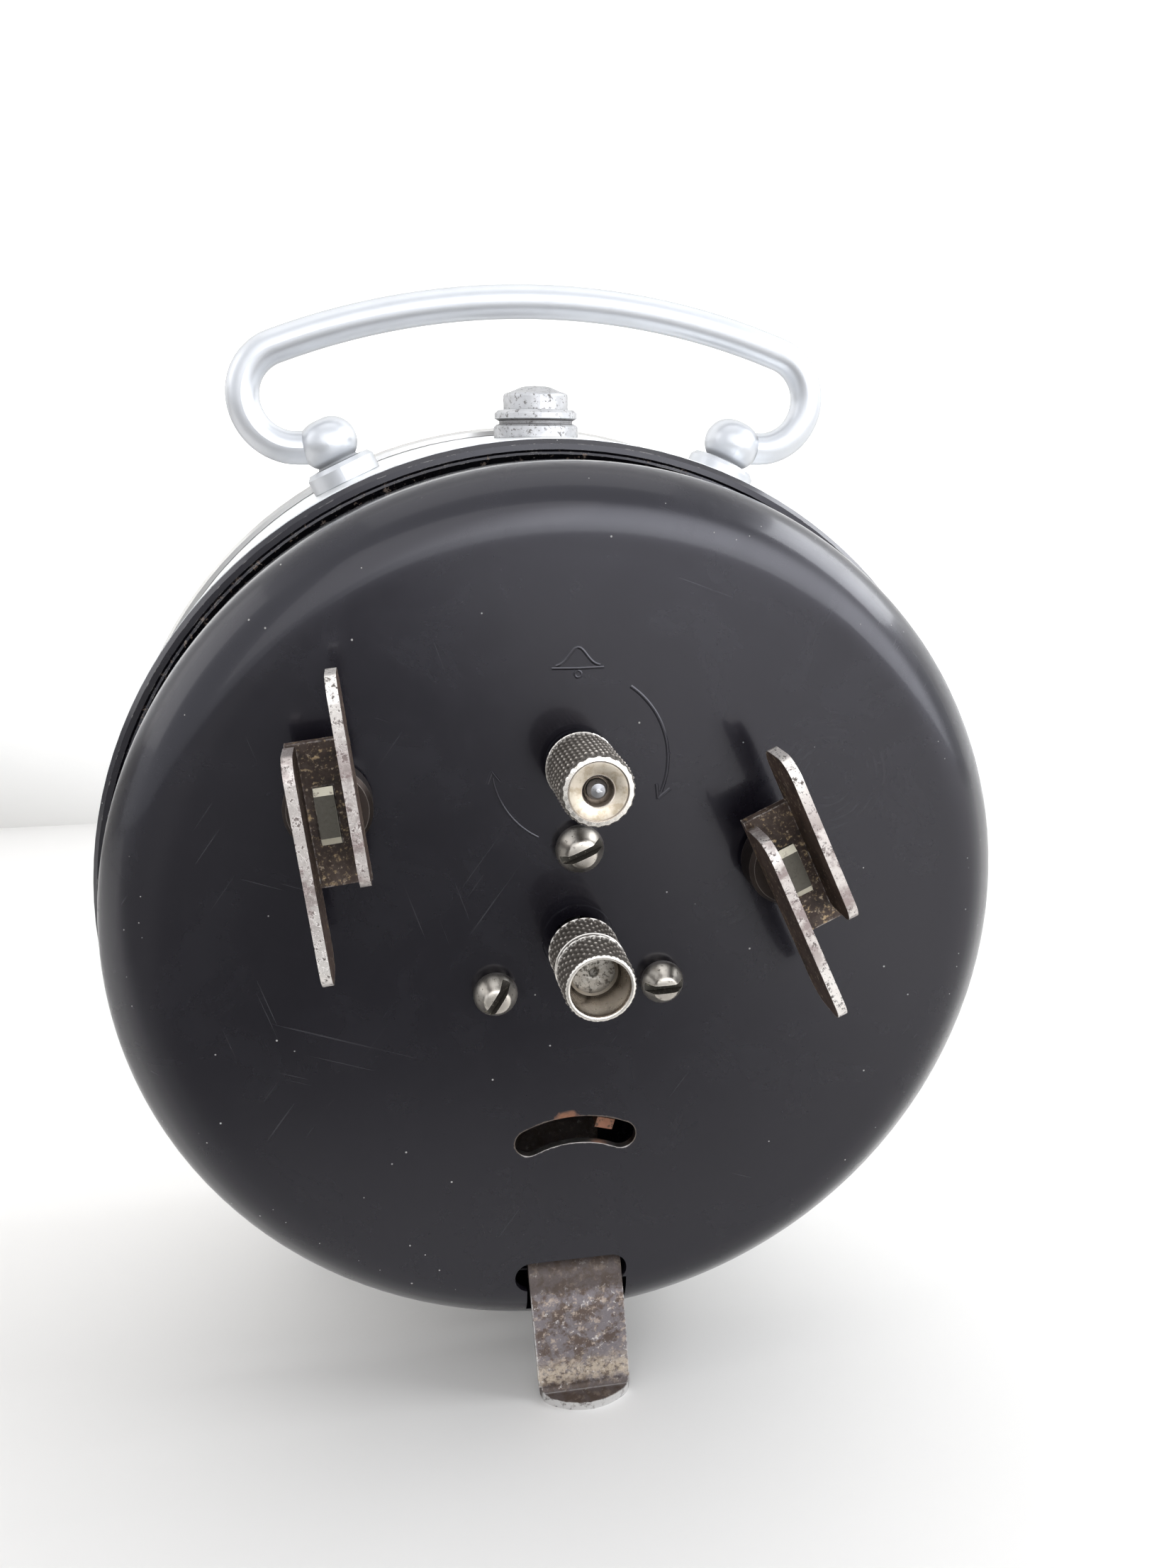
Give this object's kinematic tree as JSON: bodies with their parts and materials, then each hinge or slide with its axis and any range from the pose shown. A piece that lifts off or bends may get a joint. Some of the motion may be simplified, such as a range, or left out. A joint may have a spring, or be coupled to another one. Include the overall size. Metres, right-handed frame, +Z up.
{
  "type": "wind-up alarm clock",
  "caption": "Round wind-up alarm clock with a dished black bell as its back, winding keys, setting knobs, top stop button, loop handle, ball front feet and a strap foot behind.",
  "frame": {"origin": "on the table plane, straight under the clock's axis, in the middle of the footprint's depth (the bounding box's bottom centre)", "axes": "+Z up, dial looks along -Y, bell back and keys look along +Y, +X to the right as seen from the dial side"},
  "size_m": [0.1076, 0.0666, 0.1279],
  "materials": {
    "drum_silver": "silver lacquer over sheet steel, speckled wear",
    "black_lacquer": "gloss black stoving lacquer on pressed steel, light scratches",
    "bezel_nickel": "nickel plate, softly worn",
    "glass_clear": "clear domed glass",
    "dial_cream": "matt cream printed metal",
    "hand_blue": "blued steel",
    "aluminium_satin": "satin drawn aluminium, oxidised",
    "nickel_aged": "aged nickel with grime in the knurl",
    "steel_rusted": "browned spring steel with worn bright edges",
    "steel_plain": "turned steel",
    "brass_wheel": "machined brass",
    "spring_blue": "blued spring steel",
    "copper_brown": "oxidised copper alloy"
  },
  "bodies": {
    "clock_case": {"case_drum": "drum_silver", "back_cover": "black_lacquer", "front_bezel": "bezel_nickel", "crystal_glass": "glass_clear", "dial_plate": "dial_cream", "hour_markers": "hand_blue", "bell_back": "black_lacquer", "bell_screws": "nickel_aged", "bell_pillars": "steel_plain", "cover_spacers": "steel_plain", "rear_foot": "steel_rusted", "foot_rivets": "steel_rusted", "front_feet": "aluminium_satin", "handle_post_left": "aluminium_satin", "handle_post_right": "aluminium_satin", "button_collar": "aluminium_satin", "button_spring": "steel_plain", "case_nuts": "steel_plain", "rear_plate": "brass_wheel", "front_plate": "brass_wheel", "plate_pillars": "brass_wheel", "plate_nuts": "steel_plain", "dial_posts": "steel_plain", "balance_cups": "steel_plain", "minute_stud": "steel_plain", "going_mainspring": "spring_blue", "alarm_mainspring": "spring_blue", "hairspring": "spring_blue"},
    "handle": {"handle_bail": "aluminium_satin"},
    "button": {"stop_button": "aluminium_satin"},
    "going_winder": {"going_key": "steel_rusted", "going_wind_arbor": "steel_plain"},
    "alarm_winder": {"alarm_key": "steel_rusted", "alarm_wind_arbor": "steel_plain"},
    "hand_setting": {"hand_set_knob": "nickel_aged", "centre_arbor": "steel_plain", "cannon_pinion": "brass_wheel", "minute_hand": "hand_blue"},
    "minute_work": {"minute_wheel": "brass_wheel"},
    "hour_work": {"hour_wheel": "brass_wheel", "hour_hand": "hand_blue"},
    "alarm_pickup": {"alarm_wheel": "brass_wheel"},
    "alarm_setting": {"alarm_set_knob": "nickel_aged", "alarm_arbor": "steel_plain", "alarm_hand": "hand_blue"},
    "great": {"going_great_wheel": "brass_wheel"},
    "centre": {"centre_wheel": "brass_wheel"},
    "third": {"third_wheel": "brass_wheel"},
    "fourth": {"fourth_wheel": "brass_wheel"},
    "escape": {"escape_wheel": "brass_wheel"},
    "pallets": {"pallet_lever": "steel_plain"},
    "balance": {"balance_wheel": "brass_wheel"},
    "regulator": {"regulator_lever": "copper_brown"},
    "alarm_great": {"alarm_great_wheel": "brass_wheel"},
    "alarm_star": {"alarm_star_wheel": "brass_wheel"},
    "hammer": {"alarm_hammer": "steel_plain"},
    "going_pawl": {"going_click": "steel_plain"},
    "alarm_pawl": {"alarm_click": "steel_plain"}
  },
  "joints": [
    {"name": "handle_swing", "type": "hinge", "parent": "clock_case", "child": "handle", "pos_m": [0, -0.00875, 0.1096], "axis": [1, 0, 0], "range_deg": [-60, 60]},
    {"name": "stop_button_press", "type": "slide", "parent": "clock_case", "child": "button", "axis": [0, 0, -1], "range_m": [0, 0.0018], "stiffness_N_per_m": 150, "springref_m": -0.001, "deforming": ["button_spring"]},
    {"name": "going_key_wind", "type": "hinge", "parent": "clock_case", "child": "going_winder", "pos_m": [-0.0222, 0, 0.06675], "axis": [0, 1, 0], "continuous": true},
    {"name": "alarm_key_wind", "type": "hinge", "parent": "clock_case", "child": "alarm_winder", "pos_m": [0.0255, 0, 0.0753], "axis": [0, 1, 0], "continuous": true},
    {"name": "hand_setting_turn", "type": "hinge", "parent": "clock_case", "child": "hand_setting", "pos_m": [0, 0, 0.0585], "axis": [0, 1, 0], "continuous": true},
    {"name": "minute_wheel_turn", "type": "hinge", "parent": "clock_case", "child": "minute_work", "pos_m": [-0.01151, 0, 0.05431], "axis": [0, 1, 0], "continuous": true},
    {"name": "hour_hand_turn", "type": "hinge", "parent": "clock_case", "child": "hour_work", "pos_m": [0, 0, 0.0585], "axis": [0, 1, 0], "continuous": true},
    {"name": "alarm_wheel_turn", "type": "hinge", "parent": "clock_case", "child": "alarm_pickup", "pos_m": [0, 0, 0.0781], "axis": [0, 1, 0], "continuous": true},
    {"name": "alarm_setting_turn", "type": "hinge", "parent": "clock_case", "child": "alarm_setting", "pos_m": [0, 0, 0.0781], "axis": [0, 1, 0], "continuous": true},
    {"name": "great_wheel_turn", "type": "hinge", "parent": "clock_case", "child": "great", "pos_m": [-0.0222, 0, 0.06675], "axis": [0, 1, 0], "continuous": true},
    {"name": "centre_wheel_turn", "type": "hinge", "parent": "clock_case", "child": "centre", "pos_m": [0, 0, 0.0585], "axis": [0, 1, 0], "continuous": true},
    {"name": "third_wheel_turn", "type": "hinge", "parent": "clock_case", "child": "third", "pos_m": [0.0118, 0, 0.05024], "axis": [0, 1, 0], "continuous": true},
    {"name": "fourth_wheel_turn", "type": "hinge", "parent": "clock_case", "child": "fourth", "pos_m": [0.02054, 0, 0.03982], "axis": [0, 1, 0], "continuous": true},
    {"name": "escape_wheel_turn", "type": "hinge", "parent": "clock_case", "child": "escape", "pos_m": [0.0117, 0, 0.03472], "axis": [0, 1, 0], "continuous": true},
    {"name": "pallet_lever_rock", "type": "hinge", "parent": "clock_case", "child": "pallets", "pos_m": [0.00682, 0, 0.02971], "axis": [0, 1, 0], "range_deg": [-4.5, 4.5]},
    {"name": "balance_swing", "type": "hinge", "parent": "clock_case", "child": "balance", "pos_m": [0, 0, 0.0227], "axis": [0, 1, 0], "range_deg": [-135, 135]},
    {"name": "regulator_move", "type": "hinge", "parent": "clock_case", "child": "regulator", "pos_m": [0, 0, 0.0227], "axis": [0, 1, 0], "range_deg": [-8, 38]},
    {"name": "alarm_great_wheel_turn", "type": "hinge", "parent": "clock_case", "child": "alarm_great", "pos_m": [0.0255, 0, 0.0753], "axis": [0, 1, 0], "continuous": true},
    {"name": "alarm_star_wheel_turn", "type": "hinge", "parent": "clock_case", "child": "alarm_star", "pos_m": [0.0342, 0, 0.06023], "axis": [0, 1, 0], "continuous": true},
    {"name": "hammer_strike", "type": "hinge", "parent": "clock_case", "child": "hammer", "pos_m": [0.03264, 0, 0.05137], "axis": [0, 1, 0], "range_deg": [-5, 5]},
    {"name": "going_click_drop", "type": "hinge", "parent": "great", "child": "going_pawl", "pos_m": [-0.02939, 0, 0.0709], "axis": [0, 1, 0], "range_deg": [-2, 6]},
    {"name": "alarm_click_drop", "type": "hinge", "parent": "alarm_great", "child": "alarm_pawl", "pos_m": [0.02965, 0, 0.08249], "axis": [0, 1, 0], "range_deg": [-2, 6]}
  ],
  "couplings": [
    {"joint": "minute_wheel_turn", "follows": "hand_setting_turn", "ratio": -0.33333},
    {"joint": "hour_hand_turn", "follows": "hand_setting_turn", "ratio": 0.083333},
    {"joint": "alarm_wheel_turn", "follows": "hand_setting_turn", "ratio": -0.083333},
    {"joint": "third_wheel_turn", "follows": "fourth_wheel_turn", "ratio": -0.13333},
    {"joint": "centre_wheel_turn", "follows": "fourth_wheel_turn", "ratio": 0.016667},
    {"joint": "great_wheel_turn", "follows": "fourth_wheel_turn", "ratio": -0.0027778},
    {"joint": "escape_wheel_turn", "follows": "fourth_wheel_turn", "ratio": -7.5},
    {"joint": "alarm_star_wheel_turn", "follows": "alarm_great_wheel_turn", "ratio": -6.25}
  ]
}
